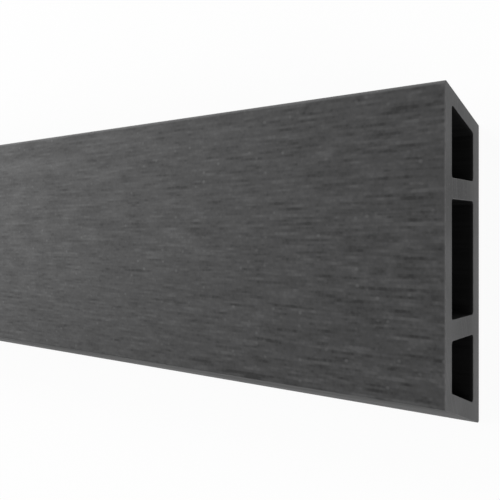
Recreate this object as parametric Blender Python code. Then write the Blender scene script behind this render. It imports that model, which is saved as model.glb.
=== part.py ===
"""Hollow composite fence board of rhombus section, lying on its rear face.

Metres, +Z up. X runs along the board, Y across its width and Z through its thickness.
The origin is on the floor, under the middle of the board. The front face looks up.
"""

import math

import bmesh
import bpy
from mathutils import Matrix, Vector

# Driving dimensions
BOARD_LENGTH = 1.8
OVERALL_WIDTH = 0.100  # from nose to nose, over the rounded corners
BOARD_THICKNESS = 0.027  # from the rear face to the front face
EDGE_SLOPE = math.radians(19)  # how far both long edges lean over
FACE_WALL = 0.0048  # front wall and rear wall
EDGE_WALL = 0.0047  # the two leaning walls, measured square to them, if the core were centred
WEB_THICKNESS = 0.006
WEB_SPACING = 0.040  # between the middles of the two webs
CORE_OFFSET = 0.0005  # how far the die's core, which forms the chambers, sits towards +Y
CORNER_RADIUS = 0.0006  # the four outer corners of the section
CHAMBER_RADIUS = 0.001  # the corners of the three chambers
ARC_STEP = math.radians(16)  # largest turn between two points of a rounded corner

# Grey wood-plastic composite
COMPOSITE_COLOUR = (0.085, 0.085, 0.087, 1.0)
COMPOSITE_ROUGHNESS = 0.72


def clear_scene():
    for obj in list(bpy.data.objects):
        bpy.data.objects.remove(obj, do_unlink=True)


def composite_material():
    material = bpy.data.materials.new("grey_composite")
    material.use_nodes = True
    shader = material.node_tree.nodes["Principled BSDF"]
    shader.inputs["Base Color"].default_value = COMPOSITE_COLOUR
    shader.inputs["Roughness"].default_value = COMPOSITE_ROUGHNESS
    shader.inputs["Metallic"].default_value = 0.0
    return material


def half_width_at_middle():
    """From the section's centre to a leaning edge, at half the board's thickness.

    A nose is an acute corner, so rounding it takes a little off the width. The straight
    edges stand that much further out, which puts the noses OVERALL_WIDTH apart.
    """
    nose_angle = math.pi / 2 - EDGE_SLOPE
    lost_to_rounding = CORNER_RADIUS / math.tan(nose_angle / 2) - CORNER_RADIUS
    sharp_half_width = OVERALL_WIDTH / 2 + lost_to_rounding
    return sharp_half_width - BOARD_THICKNESS / 2 * math.tan(EDGE_SLOPE)


def leaning(across, up):
    """A point at this height on a line that leans like the long edges."""
    return Vector((across + up * math.tan(EDGE_SLOPE), up))


def half_turned(outline):
    """The same outline on the other side of the section's centre."""
    return [-point for point in outline]


def outer_outline():
    across = half_width_at_middle()
    up = BOARD_THICKNESS / 2
    upper_side = [leaning(across, -up), leaning(across, up)]
    return upper_side + half_turned(upper_side)


def middle_chamber():
    across = (WEB_SPACING - WEB_THICKNESS) / 2
    up = BOARD_THICKNESS / 2 - FACE_WALL
    one_side = [Vector((across, -up)), Vector((across, up))]
    return one_side + half_turned(one_side)


def edge_chamber():
    """The chamber between a web and a leaning edge: its outer side follows that edge."""
    web_side = (WEB_SPACING + WEB_THICKNESS) / 2
    edge_side = half_width_at_middle() - EDGE_WALL / math.cos(EDGE_SLOPE)
    up = BOARD_THICKNESS / 2 - FACE_WALL
    return [
        Vector((web_side, -up)),
        leaning(edge_side, -up),
        leaning(edge_side, up),
        Vector((web_side, up)),
    ]


def formed_by_core(chamber):
    """The die's core forms all three chambers, so they sit off centre together."""
    return [corner + Vector((CORE_OFFSET, 0.0)) for corner in chamber]


def rounded(corners, radius):
    """The outline through these corners, anticlockwise, with an arc at each of them."""
    points = []
    for index, corner in enumerate(corners):
        back = (corners[index - 1] - corner).normalized()
        onward = (corners[(index + 1) % len(corners)] - corner).normalized()
        half_angle = back.angle(onward) / 2
        centre = corner + (back + onward).normalized() * (radius / math.sin(half_angle))
        first_spoke = corner + back * (radius / math.tan(half_angle)) - centre
        turn = math.pi - 2 * half_angle
        steps = math.ceil(turn / ARC_STEP)
        for step in range(steps + 1):
            points.append(centre + Matrix.Rotation(turn * step / steps, 2) @ first_spoke)
    return points


def add_outline(curve, points):
    spline = curve.splines.new("POLY")
    spline.points.add(len(points) - 1)
    for spline_point, point in zip(spline.points, points):
        spline_point.co = (point.x, point.y, 0.0, 1.0)
    spline.use_cyclic_u = True


def section_curve():
    """The filled section with its three chambers left open, extruded to the board's length."""
    curve = bpy.data.curves.new("board_section", "CURVE")
    curve.dimensions = "2D"
    curve.fill_mode = "BOTH"
    curve.extrude = BOARD_LENGTH / 2
    add_outline(curve, rounded(outer_outline(), CORNER_RADIUS))
    for chamber in (middle_chamber(), edge_chamber(), half_turned(edge_chamber())):
        add_outline(curve, rounded(formed_by_core(chamber), CHAMBER_RADIUS))
    return curve


def extruded_board(collection):
    """The extrusion as one closed mesh, turned so that its length runs along X."""
    guide = bpy.data.objects.new("board_section", section_curve())
    collection.objects.link(guide)
    guide.rotation_euler = (math.pi / 2, 0.0, math.pi / 2)
    guide.location = (0.0, 0.0, BOARD_THICKNESS / 2)
    bpy.context.view_layer.update()

    evaluated = guide.evaluated_get(bpy.context.evaluated_depsgraph_get())
    mesh = bpy.data.meshes.new_from_object(evaluated)
    mesh.name = "board"
    solid = bmesh.new()
    solid.from_mesh(mesh)
    bmesh.ops.remove_doubles(solid, verts=solid.verts, dist=1e-6)
    bmesh.ops.recalc_face_normals(solid, faces=solid.faces)
    solid.to_mesh(mesh)
    solid.free()
    mesh.shade_smooth()
    mesh.set_sharp_from_angle(angle=math.radians(30))

    board = bpy.data.objects.new("board", mesh)
    board.matrix_world = guide.matrix_world
    collection.objects.link(board)
    bpy.data.objects.remove(guide, do_unlink=True)
    return board


def main():
    clear_scene()
    collection = bpy.data.collections.new("composite_fence_board")
    bpy.context.scene.collection.children.link(collection)
    board = extruded_board(collection)
    board.data.materials.clear()
    board.data.materials.append(composite_material())


main()
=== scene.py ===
# %% [markdown]
# A hollow composite fence board, dressed for its photograph. The solid model is loaded first
# and is never changed. Everything after it only adds looks: a finely finished copy of the
# board, its five surface finishes, a floor, soft light and the photograph's camera.

# %% Load the solid model
import math

import bmesh
import bpy
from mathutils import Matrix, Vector


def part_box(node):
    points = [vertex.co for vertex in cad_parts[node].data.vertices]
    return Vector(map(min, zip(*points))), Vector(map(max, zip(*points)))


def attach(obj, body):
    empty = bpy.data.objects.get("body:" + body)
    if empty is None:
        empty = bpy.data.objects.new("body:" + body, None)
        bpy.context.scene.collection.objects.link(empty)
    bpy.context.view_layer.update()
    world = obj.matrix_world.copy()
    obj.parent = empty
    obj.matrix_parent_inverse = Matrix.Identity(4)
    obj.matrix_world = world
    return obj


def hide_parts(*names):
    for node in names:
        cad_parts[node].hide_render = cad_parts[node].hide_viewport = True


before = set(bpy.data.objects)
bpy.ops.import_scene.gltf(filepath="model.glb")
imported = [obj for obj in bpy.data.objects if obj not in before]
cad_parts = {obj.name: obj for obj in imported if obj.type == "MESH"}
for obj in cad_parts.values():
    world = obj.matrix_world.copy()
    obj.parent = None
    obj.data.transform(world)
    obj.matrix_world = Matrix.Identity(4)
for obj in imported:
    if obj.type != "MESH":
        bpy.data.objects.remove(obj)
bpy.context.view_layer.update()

low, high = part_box("board")
print("solid board, metres:", [round(size, 4) for size in high - low])

# %% [markdown]
# The photograph looks down on the front face from close by, a little beyond the sawn end on
# the right. The camera's place was worked out from the board's edges in the picture: how far
# it is beyond the end and above the front face, and how far it turns back along the board. A
# point of the board then lands on the pixel where the photograph shows it. The picture's
# middle lies a little below the lens axis, which a small vertical shift gives.

# %% The photograph's camera
PHOTO_PIXELS = 500
FOCAL_LENGTH_PIXELS = 670.3
LENS_AXIS_ROW = 235.0
SENSOR_WIDTH_MM = 36.0
CAMERA_BEYOND_END = 0.06993
CAMERA_ACROSS = 0.00737
CAMERA_ABOVE_FACE = 0.17842
CAMERA_TURN = 0.6574  # radians, back along the board
NEAREST_SEEN = 0.01
FARTHEST_SEEN = 100.0

camera_data = bpy.data.cameras.new("photo_camera")
camera_data.sensor_width = SENSOR_WIDTH_MM
camera_data.lens = FOCAL_LENGTH_PIXELS / PHOTO_PIXELS * SENSOR_WIDTH_MM
camera_data.shift_y = (LENS_AXIS_ROW - PHOTO_PIXELS / 2) / PHOTO_PIXELS
camera_data.clip_start = NEAREST_SEEN
camera_data.clip_end = FARTHEST_SEEN
camera = bpy.data.objects.new("photo_camera", camera_data)
camera.location = (high.x + CAMERA_BEYOND_END, CAMERA_ACROSS, high.z + CAMERA_ABOVE_FACE)
camera.rotation_euler = (0.0, CAMERA_TURN, 0.0)
bpy.context.scene.collection.objects.link(camera)
bpy.context.scene.camera = camera
print("lens, mm:", round(camera_data.lens, 2))

# %% [markdown]
# The real board is one extrusion: warm composite is pressed through a die, cooled and sawn to
# length. So the dressed board starts, like the die, from the section: one slanted outline and
# three chambers. The two long edges lean the same way, at nineteen degrees. A core in the die
# forms the chambers, and it sits half a millimetre towards the upper edge, so the upper wall
# is the thinner one. These are the sizes of the die, in metres, and each outline is a short
# list of sharp corners.

# %% The die's sizes and outlines
OVERALL_WIDTH = 0.100
EDGE_SLOPE = math.radians(19)
FACE_WALL = 0.0048
EDGE_WALL = 0.0047
WEB_THICKNESS = 0.006
WEB_SPACING = 0.040
CORE_OFFSET = 0.0005
CORNER_RADIUS = 0.0006
CHAMBER_RADIUS = 0.001
half_thickness = (high.z - low.z) / 2
inside_height = half_thickness - FACE_WALL


def half_width_at_middle():
    """From the section's centre to a leaning edge, once the rounded noses are as wide as asked."""
    nose_angle = math.pi / 2 - EDGE_SLOPE
    lost_to_rounding = CORNER_RADIUS / math.tan(nose_angle / 2) - CORNER_RADIUS
    return OVERALL_WIDTH / 2 + lost_to_rounding - half_thickness * math.tan(EDGE_SLOPE)


def leaning(across, up):
    """A point at this height on a line that leans like the long edges."""
    return Vector((across + up * math.tan(EDGE_SLOPE), up))


def half_turned(outline):
    """The same outline on the other side of the section's centre."""
    return [-point for point in outline]


def formed_by_core(chamber):
    """All three chambers sit off centre together, as the core does."""
    return [corner + Vector((CORE_OFFSET, 0.0)) for corner in chamber]


edge_side = half_width_at_middle()
wall_side = edge_side - EDGE_WALL / math.cos(EDGE_SLOPE)
middle_side = (WEB_SPACING - WEB_THICKNESS) / 2
web_side = (WEB_SPACING + WEB_THICKNESS) / 2

upper_edge = [leaning(edge_side, -half_thickness), leaning(edge_side, half_thickness)]
outer_corners = upper_edge + half_turned(upper_edge)
middle_wall = [Vector((middle_side, -inside_height)), Vector((middle_side, inside_height))]
upper_chamber = [
    Vector((web_side, -inside_height)),
    leaning(wall_side, -inside_height),
    leaning(wall_side, inside_height),
    Vector((web_side, inside_height)),
]
lower_corners = formed_by_core(half_turned(upper_chamber))
middle_corners = formed_by_core(middle_wall + half_turned(middle_wall))
upper_corners = formed_by_core(upper_chamber)
print("sharp half width at mid thickness, mm:", round(edge_side * 1000, 3))

# %% [markdown]
# Every corner of the die is rounded, by a millimetre or less. In Blender a rounded corner can
# be a bevel, or one point spun about the middle of its arc. The spin is used here, because
# it gives a true arc at any corner angle, sharp or blunt, and the same arc as the solid model.
# The ends of the arcs are then joined with straight edges.

# %% Draw the rounded outlines
ARC_STEP = math.radians(16)


def at_left_end(point):
    """A point of the section, placed at the board's left end."""
    return Vector((low.x, point.x, point.y + half_thickness))


def spun_corner(board, before, corner, after, radius):
    """One rounded corner: a point spun about the middle of its arc."""
    back = (before - corner).normalized()
    onward = (after - corner).normalized()
    half_angle = back.angle(onward) / 2
    centre = corner + (back + onward).normalized() * (radius / math.sin(half_angle))
    start = corner + back * (radius / math.tan(half_angle))
    turn = math.pi - 2 * half_angle
    made_before = len(board.verts)
    first = board.verts.new(at_left_end(start))
    bmesh.ops.spin(
        board, geom=[first], cent=at_left_end(centre), axis=(1, 0, 0), angle=turn,
        steps=math.ceil(turn / ARC_STEP), use_duplicate=False,
    )
    board.verts.ensure_lookup_table()
    return board.verts[made_before:]


def rounded_outline(board, corners, radius):
    """Draws a closed outline and returns its points in order."""
    points = []
    for index, corner in enumerate(corners):
        after = corners[(index + 1) % len(corners)]
        arc = spun_corner(board, corners[index - 1], corner, after, radius)
        if points:
            board.edges.new((points[-1], arc[0]))
        points += arc
    board.edges.new((points[-1], points[0]))
    return points


board = bmesh.new()
outer_outline = rounded_outline(board, outer_corners, CORNER_RADIUS)
chamber_outlines = [
    rounded_outline(board, corners, CHAMBER_RADIUS)
    for corners in (lower_corners, middle_corners, upper_corners)
]
print("points round the board:", len(outer_outline))
print("points round each chamber:", [len(outline) for outline in chamber_outlines])

# %% [markdown]
# The outlines are filled with triangles, which gives one flat shape with three holes, and that
# shape is extruded to the board's length, just as the die does it. The extrusion stops short
# of both ends by the width of the arris, the narrow edge that the saw leaves, so that the
# board never grows past the solid model. Blender numbers the new walls differently on each
# run, so faces and edges are put in the order of their points, which gives one fixed mesh.

# %% Fill the section and extrude it
ARRIS = 0.0002

section = bmesh.ops.triangle_fill(board, edges=board.edges[:], use_beauty=True)
section_faces = [item for item in section["geom"] if isinstance(item, bmesh.types.BMFace)]
extruded = bmesh.ops.extrude_face_region(board, geom=section_faces)
far_points = [item for item in extruded["geom"] if isinstance(item, bmesh.types.BMVert)]
near_points = [point for point in board.verts if point not in set(far_points)]
bmesh.ops.translate(board, verts=near_points, vec=(ARRIS, 0, 0))
bmesh.ops.translate(board, verts=far_points, vec=(high.x - low.x - ARRIS, 0, 0))


def order_by_points(part):
    """One number for a face or an edge, made from the numbers of its points."""
    number = 0
    for point_number in sorted(point.index for point in part.verts):
        number = number * len(board.verts) + point_number
    return number


board.verts.index_update()
board.faces.sort(key=order_by_points)
board.edges.sort(key=order_by_points)
bmesh.ops.recalc_face_normals(board, faces=board.faces)
print("faces after the extrusion:", len(board.faces))

# %% [markdown]
# Each surface of the board is finished in its own way, so each gets a material slot of its
# own: the brushed faces, the skin that the die leaves on edges and corners, the sawn ends,
# their worn arris, and the skin inside the chambers. The walk round an outline also unrolls
# the board for its texture map, like paper taken off a stick: along the board is across the
# map, and round the section is up the map. Fine brush strokes need most of the map's height,
# so the outside takes four fifths of it, and each dark chamber gets one narrow strip.

# %% Sort the walls and unroll them
BRUSHED, SKIN, SAWN, WORN, CHAMBER = range(5)
MAP_MARGIN = 0.004
OUTSIDE_ON_MAP = 0.80
CHAMBER_ON_MAP = 0.02
ROUNDED_WIDTH = 0.0005  # a wall narrower than this is part of a rounded corner
BRUSHED_SLOPE = 0.4  # a wall that faces up or down by more than this is brushed
END_FACING = 0.5  # a face that looks along the board by more than this is part of an end

texture_map = board.loops.layers.uv.new("OFBake")


def wall_of(edge):
    """The long wall that stands on this edge of the section."""
    return next(face for face in edge.link_faces if abs(face.normal.x) < END_FACING)


def unroll(points, map_start, map_height, finish_of):
    """Gives each wall of an outline its finish, its shading and its strip of the map."""
    ends = list(zip(points, points[1:] + points[:1]))
    length_round = sum((after.co - point.co).length for point, after in ends)
    travelled = 0.0
    for point, after in ends:
        width = (after.co - point.co).length
        wall = wall_of(board.edges.get((point, after)))
        wall.smooth = width < ROUNDED_WIDTH
        wall.material_index = finish_of(wall)
        for loop in wall.loops:
            place = loop.vert.co
            on_start = (place.yz - point.co.yz).length < (place.yz - after.co.yz).length
            round_section = travelled if on_start else travelled + width
            along = (place.x - low.x) / (high.x - low.x)
            loop[texture_map].uv = (
                MAP_MARGIN + along * (1 - 2 * MAP_MARGIN),
                map_start + round_section / length_round * map_height,
            )
        travelled += width
    return length_round


def outside_finish(wall):
    """The brushes also rub round the corners, until the surface turns away from them."""
    return BRUSHED if abs(wall.normal.z) > BRUSHED_SLOPE else SKIN


girth = unroll(outer_outline, MAP_MARGIN, OUTSIDE_ON_MAP, outside_finish)
map_height_used = OUTSIDE_ON_MAP + 2 * MAP_MARGIN
for outline in chamber_outlines:
    unroll(outline, map_height_used, CHAMBER_ON_MAP, lambda wall: CHAMBER)
    map_height_used += CHAMBER_ON_MAP + MAP_MARGIN
print("once round the outside, mm:", round(girth * 1000, 1))

# %% [markdown]
# A saw leaves a sharp edge that breaks a little when it is handled. Two small insets, each
# pushed outwards, turn the rim of the end and the mouths of the chambers into a narrow
# rounded arris that catches the light. An inset follows outer outline and holes alike, where
# a bevel would trip over the many edges that meet at the rim.

# %% Ease the rims of both ends
ARRIS_STEPS = ((0.7, 0.3), (0.3, 0.7))  # shares of the arris: pushed out, moved in

for side in (-1, 1):
    end_faces = [face for face in board.faces if face.normal.x * side > END_FACING]
    for pushed_out, moved_in in ARRIS_STEPS:
        rim = bmesh.ops.inset_region(
            board, faces=end_faces, use_boundary=True, use_even_offset=True,
            thickness=ARRIS * moved_in, depth=ARRIS * pushed_out,
        )
        for face in rim["faces"]:
            face.material_index = WORN
            face.smooth = True
    for face in end_faces:
        face.material_index = SAWN
        face.smooth = False
print("faces with the eased rims:", len(board.faces))

# %% [markdown]
# The two ends go on the strip of the map that is still free, side by side. Seen from beyond
# an end, a point's place across the board and its height give its place on the map.

# %% Lay the ends on the map
MIDDLE_OF_MAP = 0.5
END_WIDTH_ON_MAP = 0.47
END_HEIGHT_ON_MAP = 1 - MAP_MARGIN - map_height_used

for face in board.faces:
    if face.material_index in (SAWN, WORN):
        at_left_end_of_board = face.calc_center_median().x < 0
        map_column = MAP_MARGIN if at_left_end_of_board else MIDDLE_OF_MAP + MAP_MARGIN
        for loop in face.loops:
            place = loop.vert.co
            across = (place.y - low.y) / (high.y - low.y)
            up = (place.z - low.z) / (high.z - low.z)
            loop[texture_map].uv = (
                map_column + across * END_WIDTH_ON_MAP,
                map_height_used + up * END_HEIGHT_ON_MAP,
            )
print("share of the map's height for the ends:", round(END_HEIGHT_ON_MAP, 3))

# %% [markdown]
# The bmesh becomes a real object. It sits at the origin with its place in its mesh, as the
# solid model does, so that a pattern read from Object coordinates stays put. It rides on the
# same body as the solid board and stands for it.

# %% Make the dressed board
dressed_mesh = bpy.data.meshes.new("dressed_board")
board.to_mesh(dressed_mesh)
board.free()
dressed_board = bpy.data.objects.new("dressed_board", dressed_mesh)
bpy.context.scene.collection.objects.link(dressed_board)
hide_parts("board")
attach(dressed_board, "root")
print("points of the dressed board:", len(dressed_mesh.vertices))

# %% [markdown]
# Every finish is built from the same few patterns. A noise texture gives clouds, grains and
# long lines. A Voronoi texture gives single marks: each of its cells holds one, and the
# distance to the cell's own point draws it. Both are read from Object coordinates, divided by
# the size that one cell has on the board, so a size is always written in metres: along the
# board, across it and up. Long cells make lines along the board, and cells that are about as
# long as wide make specks. Single steps of arithmetic join the patterns.

# %% Helpers for patterns
SHIFT_ACROSS = 0.7
SHIFT_UP = 0.4
NOISE_LOW = 0.3
NOISE_MIDDLE = 0.5
NOISE_HIGH = 0.7
MARK_CORE = 0.2  # the share of a mark's reach that has its full strength


def place_in_cells(tree, cell, shift):
    """Object coordinates, counted in cells of this size. A shift keeps two patterns apart."""
    place = tree.nodes.new("ShaderNodeTexCoord")
    mapping = tree.nodes.new("ShaderNodeMapping")
    mapping.inputs["Scale"].default_value = [1 / size for size in cell]
    mapping.inputs["Location"].default_value = (shift, shift * SHIFT_ACROSS, shift * SHIFT_UP)
    tree.links.new(place.outputs["Object"], mapping.inputs["Vector"])
    return mapping.outputs["Vector"]


def between(tree, value, start, end, low_result=0.0, high_result=1.0):
    """Goes smoothly from the low to the high result as the value goes from start to end."""
    ramp = tree.nodes.new("ShaderNodeMapRange")
    ramp.interpolation_type = "SMOOTHSTEP"
    ramp.inputs["From Min"].default_value = start
    ramp.inputs["From Max"].default_value = end
    ramp.inputs["To Min"].default_value = low_result
    ramp.inputs["To Max"].default_value = high_result
    tree.links.new(value, ramp.inputs["Value"])
    return ramp.outputs["Result"]


def spread(tree, noise, low_result=0.0, high_result=1.0):
    """A noise keeps near its middle, so this spreads it over the whole way between two results."""
    return between(tree, noise, NOISE_LOW, NOISE_HIGH, low_result, high_result)


def reckon(tree, kind, first, second=0.0):
    """One step of arithmetic. The second value may be a plain number, and some kinds need none."""
    node = tree.nodes.new("ShaderNodeMath")
    node.operation = kind
    tree.links.new(first, node.inputs[0])
    if isinstance(second, (int, float)):
        node.inputs[1].default_value = second
    else:
        tree.links.new(second, node.inputs[1])
    return node.outputs[0]


def faint(tree, mask, strength):
    """A mask with only this share of its strength."""
    return reckon(tree, "MULTIPLY", mask, strength)


def clouds(tree, cell, detail=2.0, shift=0.0):
    """A noise from 0 to 1. Long cells turn its clouds into lines, and tiny ones into grains."""
    noise = tree.nodes.new("ShaderNodeTexNoise")
    noise.inputs["Scale"].default_value = 1.0
    noise.inputs["Detail"].default_value = detail
    tree.links.new(place_in_cells(tree, cell, shift), noise.inputs["Vector"])
    return noise.outputs["Fac"]


def marks(tree, cell, share, reach, shift):
    """One soft mark in some of the cells, each with its own strength."""
    voronoi = tree.nodes.new("ShaderNodeTexVoronoi")
    voronoi.inputs["Scale"].default_value = 1.0
    tree.links.new(place_in_cells(tree, cell, shift), voronoi.inputs["Vector"])
    split = tree.nodes.new("ShaderNodeSeparateColor")
    tree.links.new(voronoi.outputs["Color"], split.inputs["Color"])
    shape = between(tree, voronoi.outputs["Distance"], reach, reach * MARK_CORE)
    strength = between(tree, split.outputs["Red"], 1 - share, 1.0)
    return reckon(tree, "MULTIPLY", shape, strength)


# %% [markdown]
# A finish starts as a plain material, with one roughness and one strength of reflection. Its
# colours are greys that are laid over each other where a pattern is strong, and a pattern can
# also press a fine relief. Relief could be real geometry too, but marks of a few hundredths of
# a millimetre would take millions of faces, so a bump node tilts the surface instead.

# %% Helpers for colour and relief
COOLNESS = 1.01  # the blue of a composite grey, against its red and green


def new_finish(name, roughness, specular):
    """A plain material. Patterns may then be linked over its values."""
    finish = bpy.data.materials.new(name)
    finish.use_nodes = True
    shader = finish.node_tree.nodes["Principled BSDF"]
    shader.inputs["Roughness"].default_value = roughness
    shader.inputs["Specular IOR Level"].default_value = specular
    return finish, finish.node_tree, shader


def grey(amount):
    """A neutral composite grey, a trace cooler than pure grey."""
    return (amount, amount, amount * COOLNESS, 1.0)


def painted(tree, under, over, mask):
    """Lays one colour over another where the mask is white."""
    mix = tree.nodes.new("ShaderNodeMix")
    mix.data_type = "RGBA"
    factor, colour_under, colour_over = mix.inputs[0], mix.inputs[6], mix.inputs[7]
    tree.links.new(mask, factor)
    for socket, colour in ((colour_under, under), (colour_over, over)):
        if isinstance(colour, tuple):
            socket.default_value = colour
        else:
            tree.links.new(colour, socket)
    return mix.outputs[2]


def relief(tree, shader, height, depth):
    """Turns a pattern into fine relief of this depth in metres."""
    bump = tree.nodes.new("ShaderNodeBump")
    bump.inputs["Distance"].default_value = depth
    bump.inputs["Strength"].default_value = 1.0
    tree.links.new(height, bump.inputs["Height"])
    tree.links.new(bump.outputs["Normal"], shader.inputs["Normal"])


def add_finish(finish):
    """Puts a finish in the next material slot of the board."""
    dressed_mesh.materials.append(finish)
    print(finish.name, "has", len(finish.node_tree.nodes), "nodes")


# %% [markdown]
# The wide faces are brushed: after the die, wire brushes take off the skin and leave straight
# scratches along the board, dark and pale, from three to twenty millimetres long and about one
# millimetre wide. A noise that is only stretched along the board looks like fur, because its
# streaks swell and bend. So the board is cut into narrow lanes here: the place across it,
# rounded down to a whole number, picks a lane, and the noise is read along that lane only,
# which gives dashes of many lengths. A second set of lanes lies half a lane beside the first,
# and a cosine fades each set into the other, so that no lane shows an edge. The lanes also
# drift a little, or they would look ruled. Last, a brush leaves a few strong marks among many
# faint ones, so the swing of a mark is multiplied by a power of its own size.

# %% Helpers for brush marks
BOLDNESS = 0.4  # the power of its own size that a mark is multiplied by
LANE_JUMP = 7.31  # how far apart in the noise two neighbouring lanes are read
HALF_A_LANE = 0.5
SECOND_LANES = 0.27  # keeps the second set of lanes from repeating the first
DASH_DETAIL = 4.0
DASH_CRISPNESS = 0.8
DRIFT_CELL = (0.060, 0.012, 0.012)
DRIFT = 0.5  # in lanes


def swing(tree, pattern, amount):
    """How far a pattern swings from its middle, times an amount."""
    centred = reckon(tree, "SUBTRACT", pattern, NOISE_MIDDLE)
    return reckon(tree, "MULTIPLY", centred, amount)


def bold_swing(tree, pattern, amount):
    """A swing whose strong marks have grown and whose faint ones have faded."""
    centred = reckon(tree, "SUBTRACT", pattern, NOISE_MIDDLE)
    size = reckon(tree, "ABSOLUTE", centred)
    grown = reckon(tree, "MULTIPLY", centred, reckon(tree, "POWER", size, BOLDNESS))
    return reckon(tree, "MULTIPLY", grown, amount)


def marks_in_lane(tree, along, lane):
    """Dashes of many lengths, different in every lane."""
    join = tree.nodes.new("ShaderNodeCombineXYZ")
    tree.links.new(along, join.inputs["X"])
    tree.links.new(reckon(tree, "MULTIPLY", lane, LANE_JUMP), join.inputs["Y"])
    noise = tree.nodes.new("ShaderNodeTexNoise")
    noise.noise_dimensions = "2D"
    noise.inputs["Scale"].default_value = 1.0
    noise.inputs["Detail"].default_value = DASH_DETAIL
    noise.inputs["Roughness"].default_value = DASH_CRISPNESS
    tree.links.new(join.outputs["Vector"], noise.inputs["Vector"])
    return noise.outputs["Fac"]


def brush_marks(tree, length, width, shift):
    """Straight marks along the board, in narrow lanes that fade into their neighbours."""
    split = tree.nodes.new("ShaderNodeSeparateXYZ")
    tree.links.new(place_in_cells(tree, (length, width, width), shift), split.inputs["Vector"])
    drift = swing(tree, clouds(tree, DRIFT_CELL, detail=0.0, shift=shift), DRIFT)
    across = reckon(tree, "ADD", split.outputs["Y"], drift)
    # The height is added to the place along the board, so the two faces get different marks.
    along = reckon(tree, "ADD", split.outputs["X"], split.outputs["Z"])

    lane = reckon(tree, "FLOOR", across)
    second_lane = reckon(tree, "FLOOR", reckon(tree, "ADD", across, HALF_A_LANE))
    second_lane = reckon(tree, "ADD", second_lane, SECOND_LANES)
    fade = reckon(tree, "COSINE", reckon(tree, "MULTIPLY", across, math.tau))
    blend = tree.nodes.new("ShaderNodeMix")
    factor, first_marks, second_marks = blend.inputs[0], blend.inputs[2], blend.inputs[3]
    tree.links.new(between(tree, fade, -1.0, 1.0), factor)
    tree.links.new(marks_in_lane(tree, along, lane), first_marks)
    tree.links.new(marks_in_lane(tree, along, second_lane), second_marks)
    return blend.outputs[0]


# %% [markdown]
# The rims are paler than the middle of a face: partly wear, partly a painted highlight where a
# rounded rim catches the light. To paint that, a finish must know how near a rim it is. Along
# the board that is the distance from the middle. Across it, the two noses and the two blunt
# corners lie half a turn from each other, so Y is given the sign of the face it is on: the same
# number then means the same rim on the front and on the rear.

# %% Helpers for worn and highlit rims
NOSE_WEAR_AND_HIGHLIGHT = 0.0013
BLUNT_WEAR_AND_HIGHLIGHT = 0.0007
END_WEAR_AND_HIGHLIGHT = 0.0007
BLUNT_PALENESS = 0.08  # against 1 at a nose
END_PALENESS = 0.2
blunt_side = edge_side - half_thickness * math.tan(EDGE_SLOPE)


def place_on_board(tree):
    """Object coordinates as three separate numbers."""
    place = tree.nodes.new("ShaderNodeTexCoord")
    split = tree.nodes.new("ShaderNodeSeparateXYZ")
    tree.links.new(place.outputs["Object"], split.inputs["Vector"])
    return split.outputs


def towards_blunt_corner(tree):
    """From minus the half width at a nose to the blunt corner's side, on either face."""
    place = place_on_board(tree)
    below_middle = reckon(tree, "MULTIPLY", place["Z"], -1.0)
    below_middle = reckon(tree, "ADD", below_middle, low.z + half_thickness)
    side = reckon(tree, "SIGN", below_middle)
    return reckon(tree, "MULTIPLY", place["Y"], side)


def from_middle(tree, direction):
    """How far a point lies from the middle of the board, along or across it."""
    return reckon(tree, "ABSOLUTE", place_on_board(tree)[direction])


def worn_and_highlit_rims(tree):
    """Wear and painted highlight, strongest at the noses, weaker at blunt corners and ends, fading
    on the face.
    """
    across = towards_blunt_corner(tree)
    along = from_middle(tree, "X")
    at_nose = between(tree, across, NOSE_WEAR_AND_HIGHLIGHT - high.y, -high.y)
    at_blunt = between(tree, across, blunt_side - BLUNT_WEAR_AND_HIGHLIGHT, blunt_side, 0.0, BLUNT_PALENESS)
    at_end = between(tree, along, high.x - END_WEAR_AND_HIGHLIGHT, high.x, 0.0, END_PALENESS)
    return reckon(tree, "MAXIMUM", reckon(tree, "MAXIMUM", at_nose, at_blunt), at_end)


print("from the middle to a blunt corner, mm:", round(blunt_side * 1000, 1))

# %% [markdown]
# The brushed finish puts it together: broad marks, fine marks between them, a faint cloudiness
# of the composite, small dark pits where a grain of wood came out and pale specks where one
# stayed. All but the specks add up to one tone, which picks a grey between a dark and a pale
# one. The tone also presses a relief of a few hundredths of a millimetre.

# %% The brushed finish
BROAD_MARK_LENGTH = 0.019
BROAD_MARK_WIDTH = 0.0020
FINE_MARK_LENGTH = 0.012
FINE_MARK_WIDTH = 0.00155
BRUSHED_CLOUD = (0.018, 0.007, 0.007)
BRUSHED_SPECK = (0.0034, 0.0030, 0.0030)
PIT = (0.0040, 0.0030, 0.0030)
MIDDLE_TONE = 0.5
DARK_SCRATCH = grey(0.020)
PALE_SCRATCH = grey(0.069)
WOOD_GRAIN = grey(0.120)
RUBBED_PALE_AND_HIGHLIGHT = grey(0.150)


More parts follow.
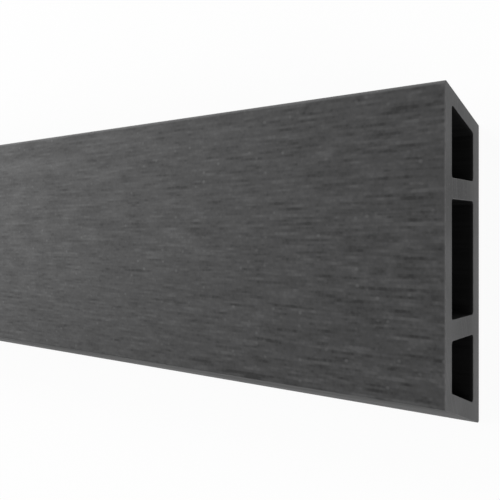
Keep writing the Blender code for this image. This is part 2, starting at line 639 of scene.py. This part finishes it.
def brushed_finish():
    """Dark grey with fine strokes along the board, a little paler at the rims: wear and painted
    highlight.
    """
    finish, tree, shader = new_finish("brushed_composite", roughness=0.45, specular=0.15)
    broad_marks = brush_marks(tree, BROAD_MARK_LENGTH, BROAD_MARK_WIDTH, shift=3.1)
    fine_marks = brush_marks(tree, FINE_MARK_LENGTH, FINE_MARK_WIDTH, shift=8.3)
    cloudiness = clouds(tree, BRUSHED_CLOUD, detail=1.0)
    specks = marks(tree, BRUSHED_SPECK, share=0.45, reach=0.28, shift=2.3)
    pits = marks(tree, PIT, share=0.20, reach=0.24, shift=5.3)

    tone = reckon(tree, "ADD", swing(tree, cloudiness, amount=0.3), MIDDLE_TONE)
    tone = reckon(tree, "ADD", tone, bold_swing(tree, broad_marks, amount=4.7))
    tone = reckon(tree, "ADD", tone, bold_swing(tree, fine_marks, amount=3.3))
    tone = reckon(tree, "SUBTRACT", tone, faint(tree, pits, strength=0.12))
    colour = painted(tree, DARK_SCRATCH, PALE_SCRATCH, tone)
    colour = painted(tree, colour, WOOD_GRAIN, faint(tree, specks, strength=0.45))
    # Paler rims: partly wear, partly a painted highlight where a rounded rim catches the light.
    colour = painted(tree, colour, RUBBED_PALE_AND_HIGHLIGHT, worn_and_highlit_rims(tree))
    tree.links.new(colour, shader.inputs["Base Color"])

    tree.links.new(spread(tree, cloudiness, 0.40, 0.50), shader.inputs["Roughness"])
    relief(tree, shader, tone, depth=0.00004)
    return finish


add_finish(brushed_finish())

# %% [markdown]
# The slanted edges and the rounded corners keep the skin of the die. It is plainer and paler
# than the brushed faces, with very long faint lines where the composite slid along the steel.
# The skin starts out darker and duller at the blunt corner and grows paler on its way to the
# nose: partly where the brushes rub over it, partly painted shade of a rounded corner.

# %% The die's skin
SKIN_CLOUD = (0.045, 0.006, 0.006)
DIE_LINE = (0.35, 0.00045, 0.00045)
SKIN_SPECK = (0.0045, 0.0030, 0.0030)
BRUSH_AND_SHADE_REACH = 0.008  # measured across the board, from the blunt corner towards the nose
SKIN_DARK = grey(0.056)
SKIN_PALE = grey(0.070)
DARK_LINE = grey(0.046)
PALE_LINE = grey(0.080)
SKIN_BRUSHED_AND_SHADED = grey(0.029)


def skin_finish():
    """A plain grey with die lines, darker near the blunt corner, where brushes reach it and shade
    is painted.
    """
    finish, tree, shader = new_finish("extruded_skin", roughness=0.62, specular=0.12)
    cloudiness = clouds(tree, SKIN_CLOUD, shift=4.2)
    die_lines = clouds(tree, DIE_LINE, shift=6.6)
    specks = marks(tree, SKIN_SPECK, share=0.10, reach=0.14, shift=7.7)

    colour = painted(tree, SKIN_DARK, SKIN_PALE, spread(tree, cloudiness))
    dark_lines = between(tree, die_lines, 0.48, 0.30, high_result=0.6)
    pale_lines = between(tree, die_lines, 0.55, 0.72, high_result=0.5)
    colour = painted(tree, colour, DARK_LINE, dark_lines)
    colour = painted(tree, colour, PALE_LINE, pale_lines)
    colour = painted(tree, colour, WOOD_GRAIN, faint(tree, specks, strength=0.5))
    across = from_middle(tree, "Y")
    # Darker skin near the blunt corner: brush rubbing and painted shade of a rounded corner.
    rubbed_and_shaded = between(tree, across, blunt_side, blunt_side + BRUSH_AND_SHADE_REACH, 1.0, 0.0)
    colour = painted(tree, colour, SKIN_BRUSHED_AND_SHADED, rubbed_and_shaded)
    tree.links.new(colour, shader.inputs["Base Color"])

    roughness = spread(tree, cloudiness, 0.56, 0.68)
    roughness = reckon(tree, "ADD", roughness, faint(tree, rubbed_and_shaded, strength=0.04))
    tree.links.new(roughness, shader.inputs["Roughness"])
    relief(tree, shader, die_lines, depth=0.00001)
    return finish


add_finish(skin_finish())

# %% [markdown]
# The ends are sawn square. The blade opens the inside of the composite, so an end is a dull
# even grey with fine grains of wood. Shade is painted as a darker patch round the upper web, and
# a painted highlight makes the end paler towards the rear face. The teeth leave faint arcs
# about the middle of the blade, which stood well below the board. Both the dark patch and the
# arcs come from a distance: from a point on the web, and from the middle of the blade, where a
# noise of one dimension reads it.

# %% The sawn ends
SAWN_CLOUD = (0.020, 0.020, 0.020)
SAWN_GRAIN = (0.0007, 0.0007, 0.0007)
SAWN_SPECK = (0.0026, 0.0026, 0.0026)
ACROSS_AND_UP = (0.0, 1.0, 1.0)  # times a place, leaves out how far it is along the board
BLADE_MIDDLE = (0.0, 0.030, -0.14)
TOOTH_MARK = 0.0011
SHADED_PATCH_MIDDLE = (0.0, 0.019, 0.017)
SHADED_PATCH_REACH = 0.017
REAR_HIGHLIGHT_REACH = 0.010
SAWN_DARK = grey(0.074)
SAWN_PALE = grey(0.100)
SHADED_PATCH = grey(0.046)
PAINTED_REAR_HIGHLIGHT = grey(0.145)
DARK_GRAIN = grey(0.060)
PALE_ARC = grey(0.108)
CUT_GRAIN = grey(0.160)


def distance_on_end(tree, middle):
    """How far a point lies from a point of the section, whatever its place along the board."""
    place = tree.nodes.new("ShaderNodeTexCoord")
    flat = tree.nodes.new("ShaderNodeVectorMath")
    flat.operation = "MULTIPLY"
    flat.inputs[1].default_value = ACROSS_AND_UP
    tree.links.new(place.outputs["Object"], flat.inputs[0])
    distance = tree.nodes.new("ShaderNodeVectorMath")
    distance.operation = "DISTANCE"
    distance.inputs[1].default_value = middle
    tree.links.new(flat.outputs["Vector"], distance.inputs[0])
    return distance.outputs["Value"]


def saw_arcs(tree):
    """Rings about the middle of the blade, as irregular as a noise."""
    noise = tree.nodes.new("ShaderNodeTexNoise")
    noise.noise_dimensions = "1D"
    noise.inputs["Scale"].default_value = 1 / TOOTH_MARK
    noise.inputs["Detail"].default_value = 2.0
    tree.links.new(distance_on_end(tree, BLADE_MIDDLE), noise.inputs["W"])
    return noise.outputs["Fac"]


def sawn_finish():
    """A dull grey with grains of wood and faint arcs, painted shade at the web, a painted
    highlight at the rear.
    """
    finish, tree, shader = new_finish("sawn_composite", roughness=0.75, specular=0.15)
    cloudiness = clouds(tree, SAWN_CLOUD, detail=1.0, shift=4.4)
    # Painted shade: a darker patch round the upper web.
    distance = distance_on_end(tree, SHADED_PATCH_MIDDLE)
    shaded_patch = between(tree, distance, 0.0, SHADED_PATCH_REACH, 0.65, 0.0)
    height = place_on_board(tree)["Z"]
    # Painted highlight: the end grows paler towards the rear face.
    near_rear_highlight = between(tree, height, low.z + REAR_HIGHLIGHT_REACH, low.z, high_result=0.5)
    grains = clouds(tree, SAWN_GRAIN, detail=3.0, shift=1.2)
    arcs = saw_arcs(tree)
    specks = marks(tree, SAWN_SPECK, share=0.25, reach=0.14, shift=3.8)

    colour = painted(tree, SAWN_DARK, SAWN_PALE, spread(tree, cloudiness))
    colour = painted(tree, colour, SHADED_PATCH, shaded_patch)
    colour = painted(tree, colour, PAINTED_REAR_HIGHLIGHT, near_rear_highlight)
    dark_grains = between(tree, grains, 0.46, 0.30, high_result=0.6)
    pale_arcs = between(tree, arcs, 0.50, 0.75, high_result=0.5)
    colour = painted(tree, colour, DARK_GRAIN, dark_grains)
    colour = painted(tree, colour, PALE_ARC, pale_arcs)
    colour = painted(tree, colour, CUT_GRAIN, faint(tree, specks, strength=0.5))
    tree.links.new(colour, shader.inputs["Base Color"])

    tree.links.new(spread(tree, grains, 0.68, 0.82), shader.inputs["Roughness"])
    relief(tree, shader, reckon(tree, "ADD", grains, arcs), depth=0.00004)
    return finish


add_finish(sawn_finish())

# %% [markdown]
# The arris between a sawn end and the rest is chipped and rubbed. It is only a fifth of a
# millimetre wide, so one fine noise gives it its colour, its dullness and its relief.

# %% The worn arris
CHIP = (0.0016, 0.0016, 0.0016)
CHIP_DARK = grey(0.075)
CHIP_PALE = grey(0.105)


def worn_finish():
    """A chipped grey, hardly paler than the sawn end."""
    finish, tree, shader = new_finish("worn_arris", roughness=0.7, specular=0.25)
    chips = clouds(tree, CHIP, detail=3.0, shift=5.9)
    colour = painted(tree, CHIP_DARK, CHIP_PALE, between(tree, chips, 0.35, 0.65))
    tree.links.new(colour, shader.inputs["Base Color"])
    tree.links.new(spread(tree, chips, 0.60, 0.80), shader.inputs["Roughness"])
    relief(tree, shader, chips, depth=0.00005)
    return finish


add_finish(worn_finish())

# %% [markdown]
# Inside, the chambers are nearly black in the photograph. Their shade is painted: the skin
# there is a very dark, dull finish with die lines, a little paler just inside the mouth.

# %% The chambers' skin and painted shade
CHAMBER_DIE_LINE = (0.30, 0.0008, 0.0008)
MOUTH_DEPTH = 0.0015
CHAMBER_SHADE_DARK = grey(0.0028)
CHAMBER_SHADE_PALE = grey(0.0050)
LIT_MOUTH_GREY = grey(0.018)


def chamber_finish():
    """Nearly black with painted shade, with die lines and a mouth paler with painted light."""
    finish, tree, shader = new_finish("chamber_skin_painted_shade", roughness=0.8, specular=0.07)
    die_lines = clouds(tree, CHAMBER_DIE_LINE, shift=2.7)
    # Painted shade: the inside of a chamber is given a nearly black colour.
    colour = painted(tree, CHAMBER_SHADE_DARK, CHAMBER_SHADE_PALE, between(tree, die_lines, 0.35, 0.65))

    along = from_middle(tree, "X")
    # Painted light: paler just inside the mouth, where light reaches in.
    at_mouth = between(tree, along, high.x - MOUTH_DEPTH, high.x, high_result=0.5)
    colour = painted(tree, colour, LIT_MOUTH_GREY, at_mouth)
    tree.links.new(colour, shader.inputs["Base Color"])

    tree.links.new(spread(tree, die_lines, 0.75, 0.85), shader.inputs["Roughness"])
    relief(tree, shader, die_lines, depth=0.00002)
    return finish


add_finish(chamber_finish())

# %% [markdown]
# The board lies on a pale floor, whose shading keeps a soft trace of the board's shadow. In a
# product picture such a floor ends in plain white. More light would turn it white, but would
# flood the board as well. So the floor is mixed with a white glow that is there only for the
# rays of camera, mirrors and glass. All other rays meet the real floor.

# %% The floor
FLOOR_HALF_SIZE = 8.0
FLOOR_BELOW = 0.0001
FLOOR_GREY = (0.85, 0.85, 0.85, 1.0)
WHITE_GLOW = 1.0
GLOW_SHARE = 0.93


def seen_directly(tree):
    """1 for camera, mirror and glass rays, which see the white surrounding; otherwise 0."""
    rays = tree.nodes.new("ShaderNodeLightPath")
    both = reckon(tree, "MAXIMUM", rays.outputs["Is Camera Ray"], rays.outputs["Is Glossy Ray"])
    return reckon(tree, "MAXIMUM", both, rays.outputs["Is Transmission Ray"])


floor_shape = bmesh.new()
bmesh.ops.create_grid(floor_shape, x_segments=1, y_segments=1, size=FLOOR_HALF_SIZE)
bmesh.ops.translate(floor_shape, verts=floor_shape.verts, vec=(0, 0, low.z - FLOOR_BELOW))
floor_mesh = bpy.data.meshes.new("floor")
floor_shape.to_mesh(floor_mesh)
floor_shape.free()
floor = bpy.data.objects.new("floor", floor_mesh)
bpy.context.scene.collection.objects.link(floor)

floor_paint, floor_tree, floor_shader = new_finish("pale_floor", roughness=0.9, specular=0.1)
floor_shader.inputs["Base Color"].default_value = FLOOR_GREY
glow = floor_tree.nodes.new("ShaderNodeEmission")
glow.inputs["Strength"].default_value = WHITE_GLOW
blend = floor_tree.nodes.new("ShaderNodeMixShader")
share = reckon(floor_tree, "MULTIPLY", seen_directly(floor_tree), GLOW_SHARE)
floor_tree.links.new(share, blend.inputs[0])
floor_tree.links.new(floor_shader.outputs[0], blend.inputs[1])
floor_tree.links.new(glow.outputs[0], blend.inputs[2])
floor_tree.links.new(blend.outputs[0], floor_tree.nodes["Material Output"].inputs["Surface"])
floor_mesh.materials.append(floor_paint)
print("floor, metres across:", 2 * FLOOR_HALF_SIZE)

# %% [markdown]
# Beyond the floor is an even surrounding. It follows the same rule: the rays that show it see
# plain white, and all others bring the board a dimmer, soft light from every side.

# %% The white surrounding
WHITE = (1.0, 1.0, 1.0, 1.0)
WORLD_STRENGTH = 0.43

world = bpy.data.worlds.new("white_surrounding")
world.use_nodes = True
sky = world.node_tree.nodes["Background"]
sky.inputs["Color"].default_value = WHITE
seen = seen_directly(world.node_tree)
strength = between(world.node_tree, seen, 0.0, 1.0, WORLD_STRENGTH, WHITE_GLOW)
world.node_tree.links.new(strength, sky.inputs["Strength"])
bpy.context.scene.world = world
print("light of the surrounding on the board:", WORLD_STRENGTH)

# %% [markdown]
# Three soft lamps shape the board. The main one is large and hangs well beyond the left end,
# so its sheen runs along the face towards the camera and dies away to the right, as in the
# photograph. The second, as large, stands beyond the sawn end and fills it. The third is small
# and close, above the upper edge and left of the picture, so the face also grows a little
# darker downwards and to the right.

# %% Soft lamps
def soft_lamp(name, place, aim, size, power):
    """A round lamp at a place, turned to a point and hidden from the camera."""
    lamp = bpy.data.lights.new(name, "AREA")
    lamp.shape = "DISK"
    lamp.size = size
    lamp.energy = power
    stand = bpy.data.objects.new(name, lamp)
    stand.location = place
    stand.rotation_euler = (Vector(aim) - Vector(place)).to_track_quat("-Z", "Y").to_euler()
    stand.visible_camera = False
    bpy.context.scene.collection.objects.link(stand)
    print(name, "gives", power, "watts")


soft_lamp("main_lamp", place=(-2.05, 0.45, 2.55), aim=(0.75, 0.0, 0.0), size=2.0, power=48.0)
soft_lamp("end_lamp", place=(3.2, -1.2, 1.2), aim=(0.9, 0.0, 0.0), size=2.0, power=40.0)
soft_lamp("upper_lamp", place=(0.2, 0.8, 0.6), aim=(0.85, 0.0, 0.0), size=0.5, power=5.4)

# %% [markdown]
# The Standard view shows a colour as it is written.

# %% Colour view
bpy.context.scene.view_settings.view_transform = "Standard"
